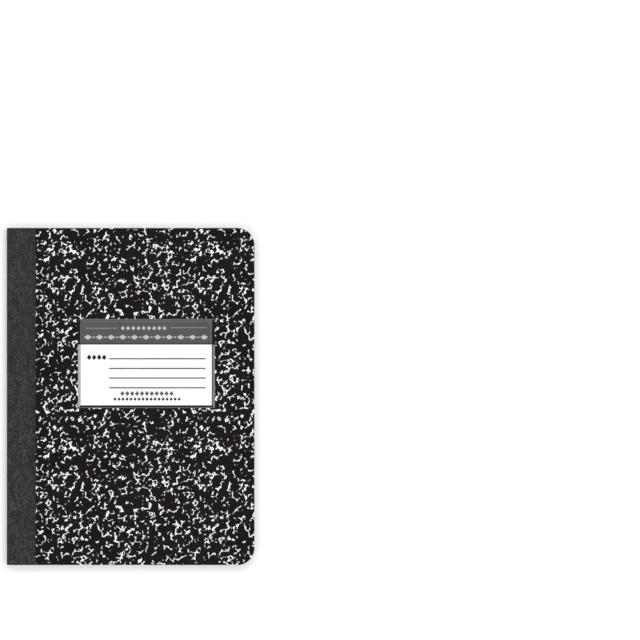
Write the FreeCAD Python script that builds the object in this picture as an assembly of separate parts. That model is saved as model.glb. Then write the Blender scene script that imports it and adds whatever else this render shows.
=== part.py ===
import FreeCAD, Part
import os
from math import pi
from FreeCAD import Vector

# Composition notebook lying flat on its back cover. Millimetres.
# Frame: +Z up, spine along Y on the -X side, head of the book towards +Y,
# origin at the middle of the footprint, on the surface the book lies on.

# ---- driving dimensions -------------------------------------------------
height = 247.65          # head to tail (9 3/4 in)
width = 182.1            # spine to fore edge, tape included
board_t = 0.8            # one cover board with its printed paper
leaf_t = 0.08            # one leaf of writing paper
leaves = 80              # forty sheets folded once and nested
lining_t = 0.1           # outermost sheet, pasted inside both boards
tape_t = 0.25            # spine cloth
tape_reach = 21.4        # how far the cloth covers each board, from the spine
corner_r = 12.5          # rounded fore-edge corners of the boards
trim = 0.2               # leaves stand this far inside the boards
fold_bulge = 1.9         # the leaves' fold stands this far past the boards' spine edges
thread_r = 0.15          # sewing thread, radius
leg_r = 0.12             # the thread pulled tight in a needle hole, radius
thread_room = 0.05       # clearance of the needle holes round the thread
stitch = 8.0             # stitch length
stitches = 30            # stitches along the fold
board_gap = 0.3          # boards' spine edges stand this far from the hinge line

# ---- heights and places that follow --------------------------------------
block_t = leaves * leaf_t
thick = block_t + 2 * lining_t + 2 * board_t
mid = thick / 2
fold_lining = fold_bulge + lining_t
fold_tape_in = fold_lining + 2 * thread_r
fold_tape_out = fold_tape_in + tape_t
x_left = -width / 2
x_hinge = x_left + fold_tape_out
x_right = width / 2
y0, y1 = -height / 2, height / 2


def half_ellipse(out, up):
    """Edge from the top point round the -X side to the bottom point, about the hinge line."""
    c = Vector(x_hinge, 0, mid)
    if up >= out:
        e = Part.Ellipse(c + Vector(0, 0, up), c + Vector(-out, 0, 0), c)
        return Part.ArcOfEllipse(e, 0, pi).toShape()
    e = Part.Ellipse(c + Vector(-out, 0, 0), c + Vector(0, 0, -up), c)
    return Part.ArcOfEllipse(e, -pi / 2, pi / 2).toShape()


def line(a, b):
    return Part.makeLine(Vector(a[0], 0, a[1]), Vector(b[0], 0, b[1]))


def along_y(edges, a, b):
    """Closed profile in the XZ plane, extruded from y=a to y=b."""
    face = Part.Face(Part.Wire(Part.__sortEdges__(edges)))
    face.translate(Vector(0, a, 0))
    return face.extrude(Vector(0, b - a, 0))


def plate(x_from, x_to, a, b, z0, z1, r):
    """Flat plate, square at x_from and with both corners at x_to rounded."""
    d = r * (1 - 2 ** -0.5)
    p = [
        Vector(x_from, a, z0),
        Vector(x_to - r, a, z0),
        Vector(x_to - d, a + d, z0),
        Vector(x_to, a + r, z0),
        Vector(x_to, b - r, z0),
        Vector(x_to - d, b - d, z0),
        Vector(x_to - r, b, z0),
        Vector(x_from, b, z0),
    ]
    edges = [
        Part.makeLine(p[0], p[1]),
        Part.Arc(p[1], p[2], p[3]).toShape(),
        Part.makeLine(p[3], p[4]),
        Part.Arc(p[4], p[5], p[6]).toShape(),
        Part.makeLine(p[6], p[7]),
        Part.makeLine(p[7], p[0]),
    ]
    return Part.Face(Part.Wire(edges)).extrude(Vector(0, 0, z1 - z0))


def c_section(out_in, up_in, out_out, up_out, x_end, a, b):
    """Sheet wrapped round the spine: two flats joined by a rounded fold."""
    top_o, top_i = mid + up_out, mid + up_in
    bot_o, bot_i = mid - up_out, mid - up_in
    return along_y(
        [
            line((x_end, top_i), (x_end, top_o)),
            line((x_end, top_o), (x_hinge, top_o)),
            half_ellipse(out_out, up_out),
            line((x_hinge, bot_o), (x_end, bot_o)),
            line((x_end, bot_o), (x_end, bot_i)),
            line((x_end, bot_i), (x_hinge, bot_i)),
            half_ellipse(out_in, up_in),
            line((x_hinge, top_i), (x_end, top_i)),
        ],
        a,
        b,
    )


# ---- cover boards ---------------------------------------------------------
# Each board is pressed in by the thickness of the cloth where the cloth lies
# on it, so that cloth and board share one outer face.
x_board = x_hinge + board_gap
x_cloth = x_left + tape_reach


def board(z0, z1, cloth_z0):
    b = plate(x_board, x_right, y0, y1, z0, z1, corner_r)
    seat = Part.makeBox(
        x_cloth - x_board + 5, height + 10, tape_t, Vector(x_board - 5, y0 - 5, cloth_z0)
    )
    return b.cut(seat)


back_cover = board(0, board_t, 0)
front_cover = board(thick - board_t, thick, thick - tape_t)

# ---- leaves ----------------------------------------------------------------
# Forty sheets folded once and nested make one block with a rounded fold.
half_block = block_t / 2
x_leaf = x_right - trim
profile = along_y(
    [
        line((x_leaf, mid - half_block), (x_leaf, mid + half_block)),
        line((x_leaf, mid + half_block), (x_hinge, mid + half_block)),
        half_ellipse(fold_bulge, half_block),
        line((x_hinge, mid - half_block), (x_leaf, mid - half_block)),
    ],
    y0 + trim,
    y1 - trim,
)
outline = plate(
    x_left - 5, x_leaf, y0 + trim, y1 - trim, -1, thick + 1, corner_r - trim
)
page_block = profile.common(outline)

# ---- lining sheet -----------------------------------------------------------
lining = c_section(
    fold_bulge, half_block, fold_lining, half_block + lining_t,
    x_leaf, y0 + trim, y1 - trim,
).common(outline)

# ---- spine cloth --------------------------------------------------------------
tape = c_section(
    fold_tape_in, mid - tape_t, fold_tape_out, mid, x_cloth, y0, y1
)

# ---- lockstitch through the fold -------------------------------------------------
# The outer thread runs along the outside of the fold under the cloth, the inner
# thread along the crease of the innermost sheet. They lock half way through
# the paper at each needle hole.
x_out = x_hinge - fold_lining - thread_r
x_in = x_hinge - fold_bulge + block_t / 2 + thread_r
x_lock = (x_out + x_in) / 2
holes = [(k - stitches / 2) * stitch for k in range(stitches + 1)]
end = holes[-1] + 1.5


def run(x, r, half=None):
    h = half or end
    return Part.makeCylinder(r, 2 * h, Vector(x, -h, mid), Vector(0, 1, 0))


def dips(xa, xb, r):
    return [
        Part.makeCylinder(r, xb - xa, Vector(xa, y, mid), Vector(1, 0, 0))
        for y in holes
    ]


outer_thread = run(x_out, thread_r).multiFuse(dips(x_out, x_lock, leg_r))
inner_thread = run(x_in, thread_r).multiFuse(dips(x_lock, x_in, leg_r))

room = thread_r + thread_room
crease = run(x_in, room, end + thread_room)
needle_holes = dips(x_out - 1, x_in, room)
page_block = page_block.cut([crease] + needle_holes)
lining = lining.cut(dips(x_out - 1, x_hinge, room))

# ---- files ---------------------------------------------------------------------------
os.makedirs("parts", exist_ok=True)
for name, shape in {
    "front_cover": front_cover,
    "back_cover": back_cover,
    "page_block": page_block,
    "lining_sheet": lining,
    "spine_tape": tape,
    "outer_thread": outer_thread,
    "inner_thread": inner_thread,
}.items():
    solids = shape.Solids
    if len(solids) != 1 or not shape.isValid() or not solids[0].isValid():
        raise SystemExit(f"{name}: {len(solids)} solids, valid {shape.isValid()}")
    solids[0].exportStep(f"parts/{name}.step")
    b = solids[0].BoundBox
    print(
        name, round(solids[0].Volume, 1),
        [round(v, 2) for v in (b.XMin, b.YMin, b.ZMin, b.XMax, b.YMax, b.ZMax)],
    )
print("hinge line", round(x_hinge, 3), round(mid, 3), "thickness", round(thick, 3))
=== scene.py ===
import math
import random

import bpy
import numpy as np
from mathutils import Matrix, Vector
from mathutils.geometry import delaunay_2d_cdt


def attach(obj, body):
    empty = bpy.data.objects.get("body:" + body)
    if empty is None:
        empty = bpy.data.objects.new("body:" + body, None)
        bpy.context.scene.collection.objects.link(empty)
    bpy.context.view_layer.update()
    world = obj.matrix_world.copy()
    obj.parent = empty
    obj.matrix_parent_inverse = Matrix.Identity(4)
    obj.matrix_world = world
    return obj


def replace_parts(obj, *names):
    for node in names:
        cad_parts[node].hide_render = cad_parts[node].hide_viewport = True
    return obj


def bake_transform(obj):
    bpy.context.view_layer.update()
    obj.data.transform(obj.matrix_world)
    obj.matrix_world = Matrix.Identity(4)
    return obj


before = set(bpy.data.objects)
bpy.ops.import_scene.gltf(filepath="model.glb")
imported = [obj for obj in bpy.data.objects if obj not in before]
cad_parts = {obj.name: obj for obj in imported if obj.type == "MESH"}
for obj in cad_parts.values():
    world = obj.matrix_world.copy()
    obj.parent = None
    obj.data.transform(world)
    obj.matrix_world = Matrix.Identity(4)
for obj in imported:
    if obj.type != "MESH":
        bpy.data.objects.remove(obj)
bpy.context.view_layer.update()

MM = 0.001
TAU = 2 * math.pi

# ---- the book's sizes in millimetres, as built ------------------------------
X_LEFT, X_RIGHT = -91.05, 91.05
Y0, Y1 = -123.825, 123.825
THICK, MID = 8.2, 4.1
BOARD_T = 0.8
X_HINGE = -88.5
X_BOARD = X_HINGE + 1.7       # the boards stop short of the fold, so they clear the cloth when open
X_CLOTH = -69.65
CORNER_R = 12.5
X_LEAF = X_RIGHT - 0.2
LEAF_Y0, LEAF_Y1 = Y0 + 0.2, Y1 - 0.2
LEAF_R = CORNER_R - 0.2
CLOTH_T = 0.25
Z_SEAT = THICK - CLOTH_T      # the board's outer face where the cloth lies on it
PROUD = 0.1                   # the front cloth stands this far above the print

# ---- materials --------------------------------------------------------------------


class Nodes:
    """Short hand for building a material's node tree."""

    def __init__(self, name):
        self.mat = bpy.data.materials.new(name)
        self.mat.use_nodes = True
        self.nt = self.mat.node_tree
        self.nt.nodes.clear()
        self.out = self.nt.nodes.new("ShaderNodeOutputMaterial")
        self.bsdf = self.nt.nodes.new("ShaderNodeBsdfPrincipled")
        self.nt.links.new(self.bsdf.outputs[0], self.out.inputs[0])
        self.place = self.nt.nodes.new("ShaderNodeTexCoord").outputs["Object"]

    def link(self, a, b):
        self.nt.links.new(a, b)

    def put(self, socket, value):
        if isinstance(value, bpy.types.NodeSocket):
            self.link(value, socket)
        else:
            socket.default_value = value

    def noise(self, scale, detail=3.0, rough=0.55, vec=None, distortion=0.0):
        n = self.nt.nodes.new("ShaderNodeTexNoise")
        n.inputs["Scale"].default_value = scale
        n.inputs["Detail"].default_value = detail
        n.inputs["Roughness"].default_value = rough
        n.inputs["Distortion"].default_value = distortion
        self.link(vec or self.place, n.inputs["Vector"])
        return n.outputs["Fac"]

    def stretch(self, x, y, z):
        n = self.nt.nodes.new("ShaderNodeMapping")
        n.inputs["Scale"].default_value = (x, y, z)
        self.link(self.place, n.inputs["Vector"])
        return n.outputs[0]

    def wave(self, scale, direction, distortion=0.0, detail=2.0, detail_scale=1.0, vec=None):
        n = self.nt.nodes.new("ShaderNodeTexWave")
        n.wave_type = "BANDS"
        n.bands_direction = direction
        n.wave_profile = "SIN"
        n.inputs["Scale"].default_value = scale
        n.inputs["Distortion"].default_value = distortion
        n.inputs["Detail"].default_value = detail
        n.inputs["Detail Scale"].default_value = detail_scale
        self.link(vec or self.place, n.inputs["Vector"])
        return n.outputs["Fac"]

    def ramp(self, fac, *stops):
        n = self.nt.nodes.new("ShaderNodeValToRGB")
        while len(n.color_ramp.elements) < len(stops):
            n.color_ramp.elements.new(0.5)
        for e, (at, colour) in zip(n.color_ramp.elements, stops):
            e.position = at
            e.color = (*colour, 1) if len(colour) == 3 else colour
        self.link(fac, n.inputs["Fac"])
        return n.outputs["Color"]

    def range(self, value, a, b, c, d, smooth=False):
        n = self.nt.nodes.new("ShaderNodeMapRange")
        if smooth:
            n.interpolation_type = "SMOOTHSTEP"
        self.link(value, n.inputs["Value"])
        for k, v in zip(("From Min", "From Max", "To Min", "To Max"), (a, b, c, d)):
            n.inputs[k].default_value = v
        return n.outputs["Result"]

    def math(self, op, a, b=0.0, c=0.0):
        n = self.nt.nodes.new("ShaderNodeMath")
        n.operation = op
        for s, v in zip(n.inputs, (a, b, c)):
            self.put(s, v)
        return n.outputs[0]

    def mix(self, fac, a, b):
        n = self.nt.nodes.new("ShaderNodeMix")
        n.data_type = "RGBA"
        self.put(n.inputs["Factor"], fac)
        for s, v in ((n.inputs[6], a), (n.inputs[7], b)):
            self.put(s, (*v, 1) if isinstance(v, tuple) and len(v) == 3 else v)
        return n.outputs[2]

    def xyz(self, socket=None):
        n = self.nt.nodes.new("ShaderNodeSeparateXYZ")
        self.link(socket or self.place, n.inputs[0])
        return n.outputs

    def bump(self, height, distance, strength=1.0, normal=None):
        n = self.nt.nodes.new("ShaderNodeBump")
        n.inputs["Distance"].default_value = distance
        n.inputs["Strength"].default_value = strength
        self.link(height, n.inputs["Height"])
        if normal is not None:
            self.link(normal, n.inputs["Normal"])
        return n.outputs["Normal"]

    def finish(self, colour, rough, normal=None, shine=0.3, sheen=0.0):
        b = self.bsdf.inputs
        self.put(b["Base Color"], colour)
        self.put(b["Roughness"], rough)
        b["Specular IOR Level"].default_value = shine
        if sheen:
            b["Sheen Weight"].default_value = sheen
            b["Sheen Roughness"].default_value = 0.5
        if normal is not None:
            self.link(normal, b["Normal"])
        return self.mat


def scaled(rgb, k):
    return tuple(c * k for c in rgb)


def ink(name, rgb, spread=0.10, shine=0.13, rough=(0.36, 0.50)):
    """Printed paper pressed onto board: one colour of print, with the unevenness of ink on paper."""
    n = Nodes(name)
    patch = n.noise(45.0, 3.0)
    grain = n.noise(1900.0, 2.0)
    tone = n.math("ADD", n.math("MULTIPLY", patch, 0.6), n.math("MULTIPLY", grain, 0.4))
    colour = n.ramp(tone, (0.3, scaled(rgb, 1 - spread)), (0.7, scaled(rgb, 1 + spread)))
    fibre = n.noise(2600.0, 3.0, 0.6, n.stretch(1.0, 0.45, 1.0))
    slow = n.noise(130.0, 2.0)
    height = n.math("ADD", n.math("MULTIPLY", fibre, 0.25), slow)
    return n.finish(
        colour,
        n.range(patch, 0.3, 0.7, *rough),
        n.bump(height, 0.00004, 0.5),
        shine,
    )


black_print = ink("black_print", (0.0060, 0.0038, 0.0041), 0.12, 0.10)
white_print = ink("white_print", (0.86, 0.86, 0.855), 0.02, 0.15)
panel_grey = ink("panel_grey", (0.081, 0.079, 0.080), 0.05)
panel_light = ink("panel_light", (0.118, 0.115, 0.117), 0.05)
panel_rule = ink("panel_rule", (0.45, 0.445, 0.45), 0.05)
panel_dark = ink("panel_dark", (0.045, 0.043, 0.045), 0.05)
panel_black = ink("panel_black", (0.009, 0.008, 0.0085), 0.05)
panel_strip = ink("panel_strip", (0.200, 0.194, 0.200), 0.04)
panel_strip_light = ink("panel_strip_light", (0.37, 0.36, 0.37), 0.04)
panel_line = ink("panel_line", (0.10, 0.098, 0.10), 0.06)


def board_core():
    """Cut edge of the pressed board: pale grey fibre in thin layers."""
    n = Nodes("board_core")
    layers = n.noise(1.0, 3.0, 0.6, n.stretch(260.0, 260.0, 5200.0))
    flecks = n.noise(2400.0, 2.0, 0.6)
    tone = n.math("ADD", n.math("MULTIPLY", layers, 0.6), n.math("MULTIPLY", flecks, 0.4))
    colour = n.ramp(
        tone, (0.34, (0.150, 0.140, 0.125)), (0.50, (0.265, 0.250, 0.228)), (0.66, (0.39, 0.37, 0.34))
    )
    return n.finish(colour, 0.9, n.bump(tone, 0.00006, 0.8), 0.2)


def lining_paper():
    """Plain uncoated paper on the insides of the boards."""
    n = Nodes("lining_paper")
    cloud = n.noise(60.0, 4.0, 0.6)
    fibre = n.noise(1400.0, 3.0, 0.65, n.stretch(1.0, 0.4, 1.0))
    fleck = n.noise(3600.0, 1.0, 0.5)
    base = n.ramp(cloud, (0.3, (0.70, 0.69, 0.66)), (0.7, (0.76, 0.75, 0.725)))
    colour = n.mix(n.range(fleck, 0.66, 0.74, 0.0, 0.25), base, (0.50, 0.47, 0.42))
    return n.finish(colour, n.range(fibre, 0.3, 0.7, 0.8, 0.95), n.bump(fibre, 0.00003, 0.6), 0.2)


def writing_paper():
    """Leaves: ruled faces above and below, streaked cut edges at the sides."""
    n = Nodes("writing_paper")
    x, y, z = n.xyz()
    cloud = n.noise(70.0, 4.0, 0.6)
    fibre = n.noise(1500.0, 3.0, 0.65)
    sheet = n.ramp(cloud, (0.3, (0.80, 0.795, 0.775)), (0.7, (0.845, 0.84, 0.825)))
    # ruling: 7.14 mm apart below a head margin, feint blue
    turned = n.math("MULTIPLY", n.math("SUBTRACT", LEAF_Y1 * MM - 0.0270, y), 1 / 0.00714)
    near = n.math("ABSOLUTE", n.math("SUBTRACT", n.math("FRACT", n.math("ADD", turned, 0.5)), 0.5))
    wobble = n.noise(500.0, 2.0)
    half = n.range(wobble, 0.2, 0.8, 0.020, 0.026)
    rule = n.math("LESS_THAN", near, half)
    below = n.math("GREATER_THAN", turned, -0.5)
    within = n.math("LESS_THAN", turned, 30.5)
    rule = n.math("MULTIPLY", rule, n.math("MULTIPLY", below, within))
    # margin: 32 mm from the left of each page as it is read
    upper = n.math("GREATER_THAN", z, MID * MM)
    at = n.math(
        "ADD",
        n.math("MULTIPLY", upper, (X_HINGE + 32) * MM),
        n.math("MULTIPLY", n.math("SUBTRACT", 1.0, upper), (X_LEAF - 32) * MM),
    )
    margin = n.math("LESS_THAN", n.math("ABSOLUTE", n.math("SUBTRACT", x, at)), 0.00016)
    face = n.mix(n.math("MULTIPLY", rule, 0.85), sheet, (0.24, 0.40, 0.62))
    face = n.mix(n.math("MULTIPLY", margin, 0.85), face, (0.72, 0.20, 0.22))
    # cut edges: fine streaks that run along the leaves, partly the paper's own uneven tone and partly painted shade
    # in the thin gaps between the sheets
    fine = n.noise(1.0, 2.0, 0.5, n.stretch(60.0, 60.0, 9000.0))
    broad = n.noise(1.0, 3.0, 0.55, n.stretch(25.0, 25.0, 1500.0))
    tone = n.math("ADD", n.math("MULTIPLY", fine, 0.5), n.math("MULTIPLY", broad, 0.5))
    edge = n.ramp(
        tone, (0.36, (0.36, 0.35, 0.325)), (0.47, (0.63, 0.615, 0.585)), (0.60, (0.79, 0.78, 0.755))
    )
    geo = n.nt.nodes.new("ShaderNodeNewGeometry").outputs["True Normal"]
    flat = n.math("GREATER_THAN", n.math("ABSOLUTE", n.xyz(geo)[2]), 0.8)
    colour = n.mix(flat, edge, face)
    height = n.math("ADD", n.math("MULTIPLY", fibre, 0.3), n.math("MULTIPLY", tone, n.math("SUBTRACT", 1.0, flat)))
    return n.finish(colour, n.range(fibre, 0.3, 0.7, 0.82, 0.96), n.bump(height, 0.00005, 0.7), 0.2)


def spine_cloth():
    """Charcoal book cloth: a fine close weave, filled and mottled."""
    n = Nodes("spine_cloth")
    x, y, z = n.xyz()
    warp = n.wave(1.0, "X", 1.2, 2.0, 1.0, n.stretch(1050.0, 160.0, 1050.0))
    weft = n.wave(1.0, "Y", 1.2, 2.0, 1.0, n.stretch(160.0, 1050.0, 160.0))
    weave = n.math("MAXIMUM", warp, weft)
    mottle = n.noise(820.0, 2.0, 0.6)
    blotch = n.noise(210.0, 2.0, 0.5)
    slub = n.noise(1.0, 2.0, 0.5, n.stretch(900.0, 170.0, 900.0))
    tone = n.math(
        "ADD",
        n.math("MULTIPLY", mottle, 0.60),
        n.math("ADD", n.math("MULTIPLY", blotch, 0.20), n.math("MULTIPLY", slub, 0.20)),
    )
    colour = n.ramp(
        tone,
        (0.40, (0.0065, 0.0065, 0.0068)),
        (0.50, (0.0225, 0.0223, 0.0232)),
        (0.60, (0.0560, 0.0555, 0.0568)),
    )
    colour = n.mix(n.range(n.noise(38.0, 2.0), 0.45, 0.62, 0.0, 0.4), colour, (0.021, 0.021, 0.026))
    # painted shade: the cloth is darker along its head and tail ends and along the rounded back of the fold
    painted_shade_ends = n.range(n.math("ABSOLUTE", y), (Y1 - 1.3) * MM, (Y1 - 0.5) * MM, 0.0, 0.55, True)
    back = n.range(x, (X_LEFT + 1.4) * MM, (X_LEFT + 0.7) * MM, 0.0, 0.45, True)
    colour = n.mix(n.math("MAXIMUM", painted_shade_ends, back), colour, (0.0055, 0.0055, 0.006))
    height = n.math("ADD", n.math("MULTIPLY", weave, 0.5), n.math("MULTIPLY", mottle, 0.9))
    return n.finish(
        colour, n.range(mottle, 0.3, 0.7, 0.72, 0.92), n.bump(height, 0.00012, 0.75), 0.22, 0.03
    )


def thread():
    """Bleached cotton sewing thread, two plies."""
    n = Nodes("sewing_thread")
    ply = n.wave(1.0, "DIAGONAL", 0.4, 1.0, 1.0, n.stretch(900.0, 900.0, 900.0))
    fuzz = n.noise(4200.0, 2.0)
    colour = n.ramp(ply, (0.0, (0.52, 0.50, 0.46)), (1.0, (0.78, 0.77, 0.73)))
    return n.finish(colour, n.range(fuzz, 0.3, 0.7, 0.8, 0.95), n.bump(ply, 0.00005), 0.2)


core_mat, lining_mat, paper_mat, cloth_mat, thread_mat = (
    board_core(), lining_paper(), writing_paper(), spine_cloth(), thread()
)


# ---- meshes ---------------------------------------------------------------------------


def make(name, verts, faces, mats, index=None, smooth=None):
    me = bpy.data.meshes.new(name)
    me.from_pydata([(x * MM, y * MM, z * MM) for x, y, z in verts], [], faces)
    for m in mats:
        me.materials.append(m)
    if index is not None:
        me.polygons.foreach_set("material_index", index)
    if smooth is not None:
        me.polygons.foreach_set("use_smooth", smooth)
    me.update()
    o = bpy.data.objects.new(name, me)
    bpy.context.scene.collection.objects.link(o)
    return o


# The marbling is one tile that repeats over the paper. Black bubbles of many sizes lie
# packed together; white stays where they meet, broken up by a slow noise, with a few loose
# strokes, rings and specks over it. All in millimetres, on a grid of CELL.
CELL = 0.13
TILE_NX, TILE_NY = 830, 1112
TILE_W, TILE_H = TILE_NX * CELL, TILE_NY * CELL


def waves(rng, n, low, high):
    """n plane waves of wavelengths low to high that close on the tile, about -1 to 1."""
    x = np.arange(TILE_NX) * (TAU / TILE_NX)
    y = np.arange(TILE_NY) * (TAU / TILE_NY)
    out = np.zeros((TILE_NY, TILE_NX))
    for _ in range(n):
        l, a = math.exp(rng.uniform(math.log(low), math.log(high))), rng.uniform(0, TAU)
        u = round(TILE_W / l * math.cos(a)) * x + rng.uniform(0, TAU)
        v = (round(TILE_H / l * math.sin(a)) * y)[:, None]
        out += np.cos(u) * np.cos(v) - np.sin(u) * np.sin(v)
    return out / math.sqrt(n / 2) / 1.6


def bubbles(rng, sizes, overlap, gap):
    """Discs packed on the tile, the big ones first: arrays of x, y and radius."""
    x, y, r = np.zeros(6000), np.zeros(6000), np.zeros(6000)
    n = 0
    for middle, tries in sizes:
        for _ in range(tries):
            px_, py_, pr = rng.uniform(0, TILE_W), rng.uniform(0, TILE_H), middle * rng.uniform(0.8, 1.25)
            dx, dy = np.abs(x[:n] - px_), np.abs(y[:n] - py_)
            room = np.hypot(np.minimum(dx, TILE_W - dx), np.minimum(dy, TILE_H - dy)) - r[:n] - pr
            if n and room.min() < rng.uniform(-overlap, gap) * (0.5 + 0.5 * min(pr, 2.0)):
                continue
            x[n], y[n], r[n] = px_, py_, pr
            n += 1
    return x[:n], y[:n], r[:n]


def foam(rng):
    """Positive where white stays between the bubbles."""
    xs, ys, rs = bubbles(rng, ((3.1, 150), (2.4, 500), (1.8, 1200), (1.3, 2000), (0.9, 1200)), 0.25, 0.3)
    wx, wy = (0.72 * waves(rng, 14, 3.0, 9.0) + 0.24 * waves(rng, 16, 0.9, 2.2) for _ in range(2))
    near = [np.full((TILE_NY, TILE_NX), 9.0) for _ in range(3)]
    for x, y, r in zip(xs, ys, rs):
        m = r + 2.4
        i = np.arange(int((x - m) / CELL), int((x + m) / CELL) + 2)
        j = np.arange(int((y - m) / CELL), int((y + m) / CELL) + 2)
        at = np.ix_(j % TILE_NY, i % TILE_NX)
        v = np.hypot((i * CELL - x)[None, :] + wx[at], (j * CELL - y)[:, None] + wy[at]) - r
        a, b, c = (k[at] for k in near)
        near[2][at] = np.minimum(c, np.maximum(b, v))
        near[1][at] = np.minimum(b, np.maximum(a, v))
        near[0][at] = np.minimum(a, v)
    between = (near[1] - near[0]) / 2
    meeting = np.exp((near[0] - near[2]) / 0.44)
    here = np.clip((waves(rng, 40, 2.8, 10.5) + 0.25 * waves(rng, 10, 14.0, 40.0) - 0.165) / 0.30, -1.5, 1)
    return 0.30 * here + 0.58 * meeting * np.clip(here + 0.9, 0, 1) - between


def loose(rng, thin):
    """Loose strokes, rings, patches and specks of the tile, as round-ended tapering pieces
    (x0, y0, r0, x1, y1, r1)."""
    cell = 0.5
    nx, ny = int(TILE_W / cell) + 1, int(TILE_H / cell) + 1
    taken = np.zeros((ny, nx), bool)
    out = []

    def stroke(caps, x, y, a, length, r0, rm, r1, bend):
        n = 3
        pr = r0
        for k in range(1, n + 1):
            t = k / n
            a += bend / n
            qx, qy = x + math.cos(a) * length / n, y + math.sin(a) * length / n
            r = (r0 * (1 - t) + r1 * t) * (1 - 4 * t * (1 - t)) + rm * 4 * t * (1 - t)
            caps.append((x, y, pr, qx, qy, r))
            x, y, pr = qx, qy, r
        return x, y, a

    def spur(caps, x, y, a, scale, r=0.3):
        length = rng.uniform(0.7, 1.7) * scale
        caps.append((x, y, r * scale, x + length * math.cos(a), y + length * math.sin(a), 0.07))

    def knot(caps, x, y, scale):
        n = rng.choice([3, 3, 4])
        turn = rng.uniform(0, TAU)
        reach, body = rng.uniform(0.45, 0.95) * scale, rng.uniform(0.35, 0.6) * scale
        for k in range(n):
            a = turn + TAU * k / n + rng.uniform(-0.35, 0.35)
            l = reach * rng.uniform(0.6, 1.5)
            caps.append((x, y, body, x + l * math.cos(a), y + l * math.sin(a), rng.uniform(0.1, 0.3) * scale))

    def ring(caps, x, y, scale):
        rad = rng.uniform(0.85, 1.5) * scale
        squash, tilt = rng.uniform(0.5, 0.95), rng.uniform(0, math.pi)
        gap = rng.choice([0, rng.uniform(0.4, 1.4), rng.uniform(1.0, 3.2)])
        lump, phase = rng.uniform(0.08, 0.25), rng.uniform(0, TAU)
        start, base = rng.uniform(0, TAU), rng.uniform(0.22, 0.4) * scale
        n = 9
        pts, rs = [], []
        for k in range(n + 1):
            t = start + (TAU - gap) * k / n
            q = rad * (1 + lump * math.sin(3 * t + phase))
            u, v = q * math.cos(t), q * squash * math.sin(t)
            pts.append((
                x + u * math.cos(tilt) - v * math.sin(tilt),
                y + u * math.sin(tilt) + v * math.cos(tilt),
            ))
            rs.append(base * (1 + 0.6 * math.sin(start * 3 + k * 1.1)))
        if not gap:
            rs[-1] = rs[0]
        for k in range(n):
            caps.append((*pts[k], rs[k], *pts[k + 1], rs[k + 1]))
        if rng.random() < 0.6:
            qx, qy = pts[n // 2]
            spur(caps, qx, qy, math.atan2(qy - y, qx - x) + rng.uniform(-0.6, 0.6), scale)

    def chain(x, y, scale):
        caps = []
        n = rng.choices([1, 2, 3, 4, 5], [30, 32, 20, 12, 6])[0]
        a = rng.uniform(0, TAU)
        turn = rng.choice([-1, 1])
        r = rng.triangular(0.22, 0.95, 0.4) * scale
        for k in range(n):
            length = rng.uniform(1.1, 3.0) * scale
            r_next = rng.triangular(0.16, 0.95, 0.45) * scale * (0.6 if k == n - 1 else 1)
            rm = min(rng.uniform(0.22, 0.48) * scale, 0.8 * max(r, r_next))
            x2, y2, a2 = stroke(caps, x, y, a, length, r, rm, r_next, rng.uniform(-0.7, 0.7))
            if rng.random() < 0.4:
                b = a + rng.choice([-1, 1]) * rng.uniform(1.0, 2.0)
                stroke(
                    caps, x, y, b, rng.uniform(0.8, 2.2) * scale, r, rm * 0.9,
                    rng.uniform(0.1, 0.35) * scale, rng.uniform(-0.5, 0.5),
                )
            if rng.random() < 0.5:
                spur(caps, x2, y2, a2 + rng.choice([-1, 1]) * rng.uniform(0.5, 2.2), scale, min(r_next, 0.3) / scale)
            if rng.random() < 0.22:
                knot(caps, x2, y2, 0.8 * scale)
            x, y, r = x2, y2, r_next
            if rng.random() < 0.35:
                turn = -turn
            a = a2 + turn * rng.uniform(0.35, 1.7)
        return caps

    def lone_ring(x, y, scale):
        caps = []
        ring(caps, x, y, scale)
        return caps

    def patch(x, y, scale):
        caps = []
        knot(caps, x, y, scale)
        for _ in range(rng.choice([0, 1, 1, 2])):
            spur(caps, x, y, rng.uniform(0, TAU), 1.3 * scale, 0.3)
        return caps

    def dash(x, y, scale):
        a, l = rng.uniform(0, TAU), rng.uniform(0.3, 1.9) * scale
        return [(
            x, y, rng.uniform(0.28, 0.6) * scale,
            x + l * math.cos(a), y + l * math.sin(a), rng.uniform(0.12, 0.5) * scale,
        )]

    def speck(x, y, scale):
        r, a, l = rng.triangular(0.1, 0.36, 0.17), rng.uniform(0, TAU), rng.uniform(0.1, 1.1)
        return [(x, y, r, x + l * math.cos(a), y + l * math.sin(a), r * rng.uniform(0.4, 1.0))]

    def cells(caps, room):
        got = set()
        for x0, y0, r0, x1, y1, r1 in caps:
            n = int(math.hypot(x1 - x0, y1 - y0) / 0.4) + 1
            for k in range(n + 1):
                t = k / n
                x, y = x0 + (x1 - x0) * t, y0 + (y1 - y0) * t
                r = (r0 + (r1 - r0) * t) * thin + room
                for i in range(math.floor((x - r) / cell), math.floor((x + r) / cell) + 1):
                    for j in range(math.floor((y - r) / cell), math.floor((y + r) / cell) + 1):
                        if math.hypot((i + 0.5) * cell - x, (j + 0.5) * cell - y) < r + 0.2:
                            got.add((j % ny, i % nx))
        return sorted(got)

    area = TILE_W * TILE_H / 542.3
    for draw, per, room, pass_any in (
        (chain, 1.3, 0.45, 0.10),
        (lone_ring, 0.4, 0.35, 0.15),
        (patch, 1.1, 0.35, 0.10),
        (dash, 2.4, 0.35, 0.06),
        (speck, 10.0, 0.25, 0.05),
    ):
        placed = tries = 0
        while placed < per * area and tries < per * area * 14:
            tries += 1
            x, y, scale = rng.uniform(0, TILE_W), rng.uniform(0, TILE_H), rng.uniform(0.65, 1.3)
            caps = draw(x, y, scale)
            at = cells(caps, room)
            hit = sum(taken[c] for c in at)
            if hit > 0.04 * len(at) and rng.random() > pass_any:
                continue
            for c in cells(caps, 0.1):
                taken[c] = True
            out.extend((a, b, r * thin, c, d, s * thin) for a, b, r, c, d, s in caps)
            placed += 1
    return out


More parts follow.
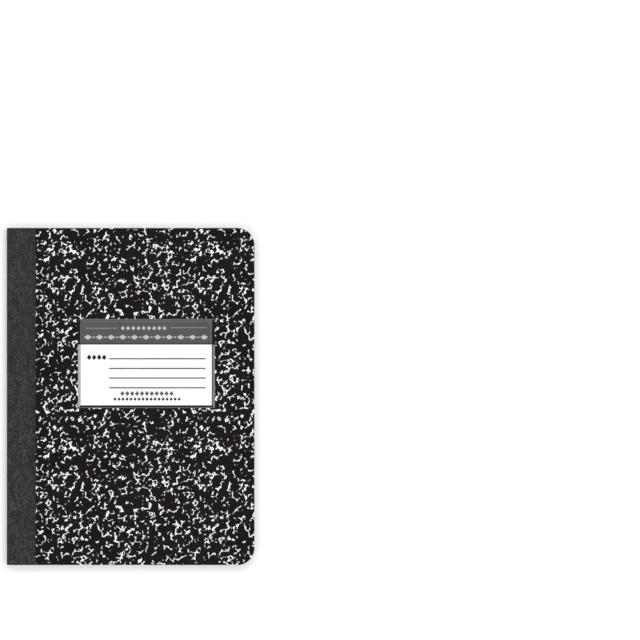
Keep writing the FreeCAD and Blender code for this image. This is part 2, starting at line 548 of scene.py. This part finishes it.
def stamped(f, caps, blend=0.12):
    """The field f with the pieces added, going round the tile's edges."""
    ny, nx = f.shape
    for x0, y0, r0, x1, y1, r1 in caps:
        m = max(r0, r1) + 0.6
        i = np.arange(int((min(x0, x1) - m) / CELL), int((max(x0, x1) + m) / CELL) + 2)
        j = np.arange(int((min(y0, y1) - m) / CELL), int((max(y0, y1) + m) / CELL) + 2)
        at = np.ix_(j % ny, i % nx)
        gx, gy = i * CELL - x0, (j * CELL - y0)[:, None]
        dx, dy = x1 - x0, y1 - y0
        t = np.clip((gx * dx + gy * dy) / (dx * dx + dy * dy + 1e-9), 0, 1)
        v = r0 + (r1 - r0) * t - np.hypot(gx - t * dx, gy - t * dy)
        a = f[at]
        k = np.clip(0.5 + 0.5 * (v - a) / blend, 0, 1)
        f[at] = a * (1 - k) + v * k + blend * k * (1 - k)
    return f


def marble_tile(seed):
    rng = random.Random(seed)
    return stamped(foam(rng), loose(rng, 0.8))


# which grid-cell edges a contour joins, by which corners are inside; the inside is on its left
B, R, T, L = range(4)
JOINS = {
    1: [(B, L)], 2: [(R, B)], 3: [(R, L)], 4: [(T, R)], 5: [(B, L), (T, R)], 6: [(T, B)],
    7: [(T, L)], 8: [(L, T)], 9: [(B, T)], 10: [(R, B), (L, T)], 11: [(R, T)], 12: [(L, R)],
    13: [(B, R)], 14: [(L, B)],
}


def outlines(f, cell):
    """Closed outlines of the places where the field is positive."""
    f = f.copy()
    f[0], f[-1], f[:, 0], f[:, -1] = -1, -1, -1, -1
    ny, nx = f.shape
    b = f > 0
    case = (
        b[:-1, :-1] * 1 + b[:-1, 1:] * 2 + b[1:, 1:] * 4 + b[1:, :-1] * 8
    )
    js, is_ = np.nonzero((case > 0) & (case < 15))
    after = {}
    for j, i in zip(js.tolist(), is_.tolist()):
        ids = (
            2 * (j * nx + i), 2 * (j * nx + i + 1) + 1, 2 * ((j + 1) * nx + i), 2 * (j * nx + i) + 1
        )
        for s, e in JOINS[int(case[j, i])]:
            after[ids[s]] = ids[e]

    def place(key):
        upright, at = key & 1, key >> 1
        j, i = divmod(at, nx)
        a = f[j, i]
        if upright:
            return i * cell, (j + a / (a - f[j + 1, i])) * cell
        return (i + a / (a - f[j, i + 1])) * cell, j * cell

    loops = []
    while after:
        start, at = after.popitem()
        loop = [start]
        while at != start:
            loop.append(at)
            at = after.pop(at)
        loops.append(np.array([place(k) for k in loop]))
    return loops


def simpler(loop, tol):
    """The outline with points left out that lie within tol of its straight runs."""
    n = len(loop)
    if n < 8:
        return loop
    far = int(np.argmax(((loop - loop[0]) ** 2).sum(1)))
    keep = {0, far}
    ring_ = np.vstack([loop, loop[:1]])
    todo = [(0, far), (far, n)]
    while todo:
        a, b = todo.pop()
        if b - a < 2:
            continue
        p, q = ring_[a], ring_[b]
        d = q - p
        m = ring_[a + 1:b] - p
        length = math.hypot(*d)
        off = (
            np.abs(m[:, 0] * d[1] - m[:, 1] * d[0]) / length
            if length > 1e-9 else np.hypot(m[:, 0], m[:, 1])
        )
        k = int(off.argmax())
        if off[k] > tol:
            k += a + 1
            keep.add(k)
            todo += [(a, k), (k, b)]
    keep.discard(n)
    return loop[sorted(keep)]


def rim_points(inset):
    """The board's outline from the cloth's edge at the tail, round the fore edge, to the cloth's edge at the head."""
    r = CORNER_R - inset
    cx, cy = X_RIGHT - CORNER_R, Y1 - CORNER_R
    pts = [(X_CLOTH + 0.01, Y0 + inset)]
    pts += [(cx + r * math.sin(a), -cy - r * math.cos(a)) for a in np.linspace(0, math.pi / 2, 19)]
    pts += [(cx + r * math.cos(a), cy + r * math.sin(a)) for a in np.linspace(0, math.pi / 2, 19)]
    pts += [(X_CLOTH + 0.01, Y1 - inset)]
    return pts


def outward(x, y):
    cx, cy = X_RIGHT - CORNER_R, Y1 - CORNER_R
    if x > cx and abs(y) > cy:
        d = Vector((x - cx, y - math.copysign(cy, y)))
        return tuple(d.normalized())
    if x > cx + CORNER_R - 0.5:
        return (1.0, 0.0)
    return (0.0, math.copysign(1.0, y))


def within(points, mid):
    """Which of the places in mid lie inside the closed outline."""
    got = np.zeros(len(mid), bool)
    for k in range(len(points)):
        (x0, y0), (x1, y1) = points[k - 1], points[k]
        got ^= ((y0 > mid[:, 1]) != (y1 > mid[:, 1])) & (
            mid[:, 0] < (x1 - x0) * (mid[:, 1] - y0) / ((y1 - y0) or 1e-12) + x0
        )
    return got


def unfold(o, printed, rim, under):
    """The flat map of a board: its printed face takes the left of it at full size, and the edges,
    the seat of the cloth and the inside lie smaller beside it."""
    me = o.data
    co = np.zeros(len(me.vertices) * 3, np.float32)
    me.vertices.foreach_get("co", co)
    co = co.reshape(-1, 3) / MM
    corner = np.zeros(len(me.loops), np.int32)
    me.loops.foreach_get("vertex_index", corner)
    at = co[corner]
    uv = np.zeros((len(corner), 2))
    uv[:, 0], uv[:, 1] = 0.004 + (at[:, 0] - X_CLOTH) / 250, 0.004 + (at[:, 1] - Y0) / 250
    along = np.concatenate([[0], np.cumsum(np.hypot(*np.diff(rim, axis=0).T))])
    along = 0.01 + 0.97 * along / along[-1]
    n = len(rim) - 1
    up = (THICK - at[:, 2] if under else at[:, 2]) - (THICK - BOARD_T)
    small_x, small_y = (at[:, 0] - X_BOARD) / 677, (at[:, 1] - Y0) / 677
    rest = (
        (0.740 + small_x, 0.42 + up * 0.02), (0.740 + small_x, 0.45 + up * 0.02),
        (0.740 + up * 0.02, 0.48 + small_y), (0.770 + small_x, 0.48 + small_y),
        (0.820 + up * 0.02, 0.48 + small_y), (0.725 + small_x, 0.01 + small_y),
    )
    for face in me.polygons[printed:]:
        k = face.index - printed
        where = slice(face.loop_start, face.loop_start + face.loop_total)
        if k < 5 * n:
            row, s = divmod(k, n)
            four = [(row, s), (row + 1, s), (row + 1, s + 1), (row, s + 1)]
            for c, (a, b) in enumerate(reversed(four) if under else four):
                uv[face.loop_start + c] = 0.665 + 0.010 * a, along[b]
        else:
            u, v = rest[k - 5 * n]
            uv[where, 0], uv[where, 1] = u[where], v[where]
    me.uv_layers.new(name="OFBake").data.foreach_set("uv", uv.astype(np.float32).ravel())


def board(name, tile, shift, under, fields=(), holes=None):
    """A cover board. fields are printed patches over the marbling: (x0, y0, x1, y1, material) or
    ([points], material), the later ones on top; holes is the box that the marbling leaves free."""
    bevel = 0.12
    ox, oy = X_CLOTH - 1.5, Y0 - 1.0
    nx, ny = int((X_RIGHT + 1.0 - ox) / CELL) + 1, int((Y1 + 1.0 - oy) / CELL) + 1
    cell = CELL
    f = tile[np.ix_((np.arange(ny) + shift[1]) % TILE_NY, (np.arange(nx) + shift[0]) % TILE_NX)]
    pts, edges = [], []

    def closed(loop):
        first = len(pts)
        pts.extend((float(x), float(y)) for x, y in loop)
        n = len(pts) - first
        edges.extend((first + k, first + (k + 1) % n) for k in range(n))

    closed(rim_points(bevel))
    shapes = []
    for p in fields:
        if len(p) == 5:
            x0, y0, x1, y1, m = p
            p = ([(x0, y0), (x1, y0), (x1, y1), (x0, y1)], m)
        shapes.append(p)
        closed(p[0])
    for loop in outlines(f, cell):
        loop = simpler(loop, 0.03) + (ox, oy)
        if len(loop) < 3:
            continue
        if holes and (
            (loop[:, 0] > holes[0]).all() and (loop[:, 0] < holes[2]).all()
            and (loop[:, 1] > holes[1]).all() and (loop[:, 1] < holes[3]).all()
        ):
            continue
        closed(loop)
    vs, _, tris, *_ = delaunay_2d_cdt([Vector(p) for p in pts], edges, [], 0, 1e-5, False)
    vs = np.array([(v.x, v.y) for v in vs])
    tris = np.array([t for t in tris if len(t) == 3])
    a, b, c = (vs[tris[:, k]] for k in range(3))
    mid = (a + b + c) / 3
    turn = (b[:, 0] - a[:, 0]) * (c[:, 1] - a[:, 1]) - (b[:, 1] - a[:, 1]) * (c[:, 0] - a[:, 0])
    inside = within(rim_points(bevel), mid)
    tris, mid, turn = tris[inside], mid[inside], turn[inside]
    tris[turn < -1e-9] = tris[turn < -1e-9][:, ::-1]
    # which print each triangle carries
    gi, gj = (mid[:, 0] - ox) / cell, (mid[:, 1] - oy) / cell
    i0, j0 = gi.astype(int), gj.astype(int)
    u, v = gi - i0, gj - j0
    value = (
        f[j0, i0] * (1 - u) * (1 - v) + f[j0, i0 + 1] * u * (1 - v)
        + f[j0 + 1, i0] * (1 - u) * v + f[j0 + 1, i0 + 1] * u * v
    )
    mats = [black_print, white_print, core_mat, lining_mat]
    tri_mat = (value > 0).astype(int)
    for points, m in shapes:
        if m not in mats:
            mats.append(m)
        tri_mat[within(points, mid)] = mats.index(m)
    # only the points that the printed face keeps
    kept, tris = np.unique(tris, return_inverse=True)
    vs, tris = vs[kept], tris.reshape(-1, 3)
    # border of the printed face
    used = {}
    for t, (p, q, s) in enumerate(tris.tolist()):
        for e in ((p, q), (q, s), (s, p)):
            used[e] = t
    border = {p: (q, t) for (p, q), t in used.items() if (q, p) not in used}
    start = min(border, key=lambda k: math.hypot(vs[k][0] - X_CLOTH - 0.01, vs[k][1] - Y0 - bevel))
    loop, owner, at = [], [], start
    while len(loop) < len(border):
        q, t = border[at]
        loop.append(at)
        owner.append(t)
        at = q
        if at == start:
            break
    if at != start:
        raise SystemExit(f"{name}: the outline of the printed face isn't closed")
    if len(loop) != len(border):
        print(f"{name}: {len(border)} border edges, {len(loop)} in the outline")
    last = min(
        range(len(loop)), key=lambda k: math.hypot(vs[loop[k]][0] - X_CLOTH - 0.01, vs[loop[k]][1] - Y1 + bevel)
    )
    rim, step = loop[: last + 1], loop[last:] + [loop[0]]

    verts = [(x, y, THICK) for x, y in vs.tolist()]
    faces = [tuple(t) for t in tris.tolist()]
    index = tri_mat.tolist()
    smooth = [False] * len(faces)
    rings = [rim]
    for k in (1, 2, 3):
        a = k * math.pi / 6
        row = []
        for p in rim:
            x, y = vs[p]
            nx, ny = outward(x, y)
            row.append(len(verts))
            verts.append((
                x + nx * bevel * math.sin(a), y + ny * bevel * math.sin(a),
                THICK - bevel * (1 - math.cos(a)),
            ))
        rings.append(row)
    for z in (Z_SEAT, THICK - BOARD_T):
        row = []
        for p in rings[3]:
            row.append(len(verts))
            verts.append((verts[p][0], verts[p][1], z))
        rings.append(row)
    for k in range(5):
        for s in range(len(rim) - 1):
            faces.append((rings[k][s], rings[k + 1][s], rings[k + 1][s + 1], rings[k][s + 1]))
            index.append(index[owner[s]] if k < 2 else 2)
            smooth.append(k < 3)
    seat, low = rings[4], rings[5]
    a0, a1, b0, b1 = range(len(verts), len(verts) + 4)
    verts += [(X_BOARD, Y0, THICK - BOARD_T), (X_BOARD, Y0, Z_SEAT), (X_BOARD, Y1, THICK - BOARD_T), (X_BOARD, Y1, Z_SEAT)]
    for face, m in (
        ((a0, low[0], seat[0], a1), 2),
        ((low[-1], b0, b1, seat[-1]), 2),
        ((b0, a0, a1, b1), 2),
        ((a1, seat[0], seat[-1], b1), 0),
        (tuple([*step, rings[1][0], rings[2][0], rings[3][0], seat[0], seat[-1], rings[3][-1], rings[2][-1], rings[1][-1]]), 0),
        (tuple([a0, b0, *reversed(low)]), 3),
    ):
        faces.append(face)
        index.append(m)
        smooth.append(False)
    if under:
        verts = [(x, y, THICK - z) for x, y, z in verts]
        faces = [tuple(reversed(q)) for q in faces]
    o = make(name, verts, faces, mats, index, smooth)
    unfold(o, len(tris), np.array([vs[p] for p in rim]), under)
    print(name, "triangles", sum(len(q) - 2 for q in faces), "white share", round(float((value > 0).mean()), 3))
    return o


# ---- the printed name panel ---------------------------------------------------------
# Places are in units of 0.73635 mm, across from the left and down from the top of the
# picture plane that the front is drawn on.
U = 0.73635


def px(x):
    return (x - 130.45) * U


def py(y):
    return (396.5 - y) * U


def bar(x0, y0, x1, y1, m):
    return (px(x0), py(y1), px(x1), py(y0), m)


def poly(points, m):
    return ([(px(x), py(y)) for x, y in points], m)


def lozenge(x, y, a, b, m):
    return poly([(x - a, y), (x, y + b), (x + a, y), (x, y - b)], m)


PANEL = (px(78.1), py(408.0), px(214.7), py(319.1))
panel = [
    # ground of the whole panel, then its header and its white field
    bar(78.1, 319.1, 214.7, 408.0, panel_black),
    poly([(78.6, 319.1), (214.4, 319.1), (211.8, 321.6), (211.8, 344.4), (80.5, 344.4), (80.5, 320.6)], panel_grey),
    poly([(78.6, 319.1), (214.4, 319.1), (213.7, 319.9), (79.4, 319.9)], panel_light),
    bar(80.5, 321.0, 211.6, 321.9, panel_light),
    bar(80.5, 321.7, 81.4, 343.0, panel_light),
    bar(210.4, 321.7, 211.6, 343.0, panel_light),
    bar(80.5, 343.1, 211.8, 344.7, panel_dark),
    bar(80.85, 344.7, 211.6, 405.3, white_print),
    # printed bevel: left strip, right strip, foot
    poly([(78.1, 344.7), (80.85, 344.7), (80.85, 405.3), (78.1, 408.0)], panel_strip),
    poly([(78.1, 344.7), (80.85, 344.7), (80.85, 405.3), (78.4, 407.6)], panel_strip_light),
    poly([(211.6, 344.7), (213.0, 344.7), (213.0, 406.4), (211.6, 405.3)], panel_grey),
    poly([(213.0, 344.7), (214.7, 344.7), (214.7, 408.0), (213.0, 406.4)], panel_strip),
    poly([(79.4, 407.1), (213.6, 407.1), (214.5, 408.0), (78.4, 408.0)], panel_line),
    # rules in the header
    bar(85.6, 327.8, 118.0, 328.8, panel_strip),
    bar(170.2, 327.3, 206.2, 328.3, panel_strip),
    # lines to write on
    *[bar(109.0, y - 0.66, 205.4, y + 0.66, panel_line) for y in (358.8, 368.5, 378.1, 387.8)],
]
# plain ornament in the header, before the first line and at the foot
for k in range(-4, 5):
    panel.append(lozenge(143.7 + k * 5.2, 328.3, 2.0, 2.1, panel_rule))
for k in range(-5, 6):
    panel.append(lozenge(146.0 + k * 11.6, 337.3, 3.9, 2.5, panel_rule))
    if k < 5:
        panel.append(lozenge(151.8 + k * 11.6, 337.3, 1.3, 1.0, panel_rule))
for k in range(4):
    panel.append(lozenge(89.2 + k * 5.0, 357.4, 2.3, 2.9, panel_black))
for k in range(-5, 6):
    panel.append(lozenge(146.9 + k * 4.9, 393.5, 2.15, 2.6, panel_line))
for k in range(-8, 9):
    panel.append(lozenge(147.0 + k * 4.0, 399.1, 1.6, 1.85, panel_black))

marbling = marble_tile(4)
front = board("front_cover_board", marbling, (60, 100), False, panel, PANEL)
back = board("back_cover_board", marbling[:, ::-1], (510, 700), True)
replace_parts(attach(front, "front_board"), "front_cover")
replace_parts(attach(back, "back_board"), "back_cover")


# ---- leaves, lining and cloth -----------------------------------------------------------


def leaf_y(x, y_in=LEAF_Y1, r=LEAF_R, x_end=X_LEAF):
    """How far the leaf reaches towards head and tail at x, with its rounded corners."""
    cx = x_end - r
    if x <= cx:
        return y_in
    return y_in - r + math.sqrt(max(0.0, r * r - (x - cx) ** 2))


def stations(x_fold, x_end, r, more=()):
    """Places along a flat leaf, from its fore edge to its fold, close together at the corners."""
    xs = [x_end - r + r * math.sin(a) for a in np.linspace(math.pi / 2, 0, 10)]
    return xs + [x for x in more if x < xs[-1]] + [x_fold]


def nested_leaves():
    rng = random.Random(21)
    verts, faces, smooth = [], [], []
    sheets, pitch = 40, 0.08
    drift = [0.0]
    for _ in range(2 * sheets):
        drift.append(0.82 * drift[-1] + rng.uniform(-0.035, 0.035))
    for k in range(sheets):
        up_o = 3.2 - pitch * k
        up_i = up_o - rng.uniform(0.064, 0.072)
        apex = X_HINGE - 1.9 + pitch * k
        ratio = 1.9 / 3.2
        rows = []   # (outer point, inner point, half length at this place)
        for side in (1, -1):
            cut = X_LEAF + drift[k if side > 0 else 2 * sheets - k] - 0.03
            xs = stations(apex + ratio * up_o, cut, LEAF_R)
            lift = drift[(k if side > 0 else 2 * sheets - k)] * 0.7 - 0.02
            row = [
                ((x, MID + side * up_o), (x, MID + side * up_i), leaf_y(x, LEAF_Y1 + lift, LEAF_R, cut))
                for x in xs
            ]
            if side > 0:
                rows += row
                c = apex + ratio * up_o
                for a in np.linspace(0, math.pi, 15)[1:-1]:
                    ri = max(0.004, ratio * up_o - (up_o - up_i))
                    rows.append((
                        (c - ratio * up_o * math.sin(a), MID + up_o * math.cos(a)),
                        (c - ri * math.sin(a), MID + up_i * math.cos(a)),
                        LEAF_Y1 + lift,
                    ))
            else:
                rows += row[::-1]
        first = len(verts)
        for (xo, zo), (xi, zi), half in rows:
            verts += [(xo, -half, zo), (xo, half, zo), (xi, -half, zi), (xi, half, zi)]
        n = len(rows)
        for s in range(n - 1):
            p, q = first + 4 * s, first + 4 * (s + 1)
            faces += [
                (p, p + 1, q + 1, q), (p + 2, q + 2, q + 3, p + 3),
                (p, q, q + 2, p + 2), (p + 1, p + 3, q + 3, q + 1),
            ]
            bend = 10 <= s < n - 11
            smooth += [bend, bend, False, False]
        e = first + 4 * (n - 1)
        faces += [(first, first + 2, first + 3, first + 1), (e, e + 1, e + 3, e + 2)]
        smooth += [False, False]
    return make("page_leaves", verts, faces, [paper_mat], None, smooth)


leaves = nested_leaves()
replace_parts(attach(leaves, "pages"), "page_block")


def wrapped(name, side, out_i, up_i, out_o, up_o, x_end, half_of, mat, wave=0.0, rows_y=1, seed=0):
    """Half of a sheet that wraps the spine, from the middle of the fold to its free edge.
    side is 1 for the front half and -1 for the back half."""
    rng = random.Random(seed)
    profile = []
    for a in np.linspace(math.pi / 2, 0, 15):
        profile.append((
            (X_HINGE - out_o * math.sin(a), up_o * math.cos(a)),
            (X_HINGE - out_i * math.sin(a), up_i * math.cos(a)),
        ))
    flats = sorted({X_HINGE + d for d in (0.25, 0.5, 0.8, 1.2, 2.0, 3.5, 6.0, 10.0, 15.0)})
    flats = [x for x in flats if x < x_end - 0.5]
    tail_x = list(half_of("x")) if half_of("x") else []
    flats = [x for x in flats if not tail_x or x < tail_x[0]] + tail_x + [x_end]
    for x in flats:
        profile.append(((x, up_o), (x, up_i)))
    verts, faces, smooth = [], [], []
    n, m = len(profile), rows_y + 1
    wob = [wave * (0.6 * math.sin(k * 0.37 + 1.0) + 0.4 * rng.uniform(-1, 1)) for k in range(m)]
    for layer in (0, 1):
        for s, pair in enumerate(profile):
            x, z = pair[layer]
            half = half_of(pair[0][0])
            for k in range(m):
                t = k / rows_y
                dx = wob[k] if s == n - 1 else 0.0
                verts.append((x + dx, -half + 2 * half * t, MID + side * z))
    size = n * m

    def vid(layer, s, k):
        return layer * size + s * m + k

    for s in range(n - 1):
        for k in range(rows_y):
            faces.append((vid(0, s, k), vid(0, s + 1, k), vid(0, s + 1, k + 1), vid(0, s, k + 1)))
            faces.append((vid(1, s, k), vid(1, s, k + 1), vid(1, s + 1, k + 1), vid(1, s + 1, k)))
            smooth += [True, True]
        faces.append((vid(0, s, 0), vid(1, s, 0), vid(1, s + 1, 0), vid(0, s + 1, 0)))
        faces.append((vid(0, s, m - 1), vid(0, s + 1, m - 1), vid(1, s + 1, m - 1), vid(1, s, m - 1)))
        smooth += [False, False]
    for k in range(rows_y):
        faces.append((vid(0, 0, k), vid(0, 0, k + 1), vid(1, 0, k + 1), vid(1, 0, k)))
        faces.append((vid(0, n - 1, k), vid(1, n - 1, k), vid(1, n - 1, k + 1), vid(0, n - 1, k + 1)))
        smooth += [False, False]
    if side < 0:
        faces = [tuple(reversed(q)) for q in faces]
    return make(name, verts, faces, [mat], None, smooth)


corner_x = [X_LEAF - LEAF_R + LEAF_R * math.sin(a) for a in np.linspace(0, math.pi / 2, 10)][:-1]


def lining_half(x):
    return corner_x if x == "x" else leaf_y(x)


def cloth_half(x):
    return [] if x == "x" else Y1


for side, tag, body in ((1, "front", "front_board"), (-1, "back", "back_board")):
    lining = wrapped(
        f"lining_{tag}", side, 1.9, 3.2, 2.0, 3.3, X_LEAF, lining_half, lining_mat
    )
    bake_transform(lining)
    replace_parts(lining, "lining_sheet")
    proud = PROUD if side > 0 else 0.0
    cloth = wrapped(
        f"spine_cloth_{tag}", side, 2.3, MID - CLOTH_T, 2.55, MID + proud, X_CLOTH, cloth_half,
        cloth_mat, 0.04, 96, 5 + side,
    )
    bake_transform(cloth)
    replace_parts(cloth, "spine_tape")

for node in ("outer_thread", "inner_thread"):
    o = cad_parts[node]
    o.data.materials.clear()
    o.data.materials.append(thread_mat)

# ---- floor, light and camera ---------------------------------------------------------


def floor_mat():
    n = Nodes("pale_floor")
    cloud = n.noise(3.0, 3.0)
    colour = n.ramp(cloud, (0.3, (0.872, 0.872, 0.872)), (0.7, (0.888, 0.888, 0.888)))
    return n.finish(colour, 0.9, n.bump(n.noise(900.0, 2.0), 0.00002, 0.3), 0.1)


floor = make(
    "floor", [(-4000, -4000, -0.03), (4000, -4000, -0.03), (4000, 4000, -0.03), (-4000, 4000, -0.03)],
    [(0, 1, 2, 3)], [floor_mat()],
)

scene = bpy.context.scene
scene.view_settings.view_transform = "Standard"
scene.view_settings.look = "None"
scene.view_settings.exposure = 0.0
scene.view_settings.gamma = 1.0

# a soft white room: pale walls, a bright band of ceiling light all round, dim straight overhead
world = bpy.data.worlds.new("studio")
scene.world = world
world.use_nodes = True
wt = world.node_tree
wt.nodes.clear()
w_out = wt.nodes.new("ShaderNodeOutputWorld")
w_bg = wt.nodes.new("ShaderNodeBackground")
w_co = wt.nodes.new("ShaderNodeTexCoord")
w_sep = wt.nodes.new("ShaderNodeSeparateXYZ")
w_ramp = wt.nodes.new("ShaderNodeValToRGB")
wt.links.new(w_co.outputs["Generated"], w_sep.inputs[0])
wt.links.new(w_sep.outputs["Z"], w_ramp.inputs["Fac"])
e = w_ramp.color_ramp.elements
e[0].position, e[0].color = 0.0, (0.300, 0.300, 0.300, 1)
e[1].position, e[1].color = 1.0, (0.075, 0.075, 0.075, 1)
for at, v in ((0.10, 0.29), (0.25, 0.16), (0.66, 0.17), (0.74, 1.0), (0.86, 1.0), (0.93, 0.14)):
    k = e.new(at)
    k.color = (v, v, v, 1)
# a little brighter towards the foot
w_lean = wt.nodes.new("ShaderNodeVectorMath")
w_lean.operation = "DOT_PRODUCT"
wt.links.new(w_co.outputs["Generated"], w_lean.inputs[0])
w_lean.inputs[1].default_value = (0.0, -0.10, 0.0)
w_gain = wt.nodes.new("ShaderNodeMath")
w_gain.operation = "MULTIPLY_ADD"
wt.links.new(w_lean.outputs["Value"], w_gain.inputs[0])
wt.links.new(w_ramp.outputs["Color"], w_gain.inputs[1])
wt.links.new(w_ramp.outputs["Color"], w_gain.inputs[2])
wt.links.new(w_gain.outputs[0], w_bg.inputs["Color"])
w_bg.inputs["Strength"].default_value = 2.64
wt.links.new(w_bg.outputs[0], w_out.inputs[0])

# one large soft box, high at the head
light = bpy.data.lights.new("soft_box", "AREA")
light.shape = "SQUARE"
light.size = 1.6
light.energy = 13.0
box_light = bpy.data.objects.new("soft_box", light)
box_light.location = (0.25, 1.75, 2.1)
box_light.rotation_mode = "QUATERNION"
box_light.rotation_quaternion = (-Vector(box_light.location)).to_track_quat("-Z", "Y")
scene.collection.objects.link(box_light)

# frame: 640 units of 0.73635 mm across, its middle at (320, 320) in the panel's units
cam_data = bpy.data.cameras.new("camera")
cam = bpy.data.objects.new("camera", cam_data)
scene.collection.objects.link(cam)
cam_data.lens = 300.0
cam_data.sensor_width = 36.0
ZOOM = 1.002
cam.location = (
    px(130.0 + 190.0 / ZOOM) * MM,
    py(396.0 - 76.0 / ZOOM) * MM,
    THICK * MM + 640 * U / ZOOM * MM * cam_data.lens / cam_data.sensor_width,
)
cam.rotation_euler = (0.0, 0.0, 0.0)
cam_data.clip_start, cam_data.clip_end = 0.01, 50.0
scene.camera = cam
